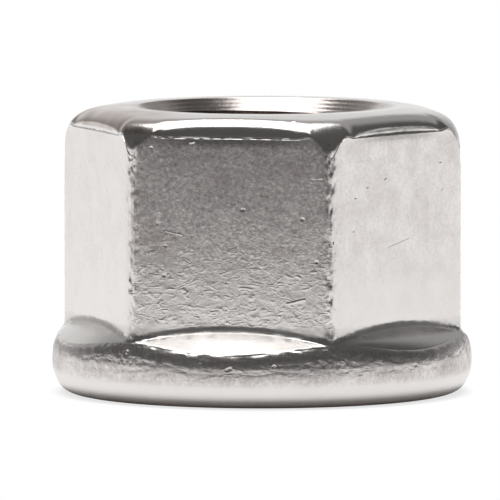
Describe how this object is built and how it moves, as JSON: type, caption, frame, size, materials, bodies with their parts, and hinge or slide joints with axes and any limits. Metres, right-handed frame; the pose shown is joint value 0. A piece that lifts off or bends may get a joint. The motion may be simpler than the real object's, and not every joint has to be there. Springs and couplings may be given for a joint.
{
  "type": "flanged lock nut",
  "caption": "One-piece hexagon nut with a round flange, a flared skirt and a domed crown, for locking on a fine-threaded axle.",
  "frame": {"origin": "centre of the flat bearing face, on the thread's axis", "axes": "+Z along the thread's axis, from the bearing face to the domed crown; two of the six flats are square to Y"},
  "size_m": [0.018, 0.018, 0.0122],
  "materials": {
    "plated_steel": "bright nickel-plated steel, satin on the flats, with small dents and tumbling marks"
  },
  "bodies": {
    "root": {"lock_nut": "plated_steel"}
  },
  "joints": []
}
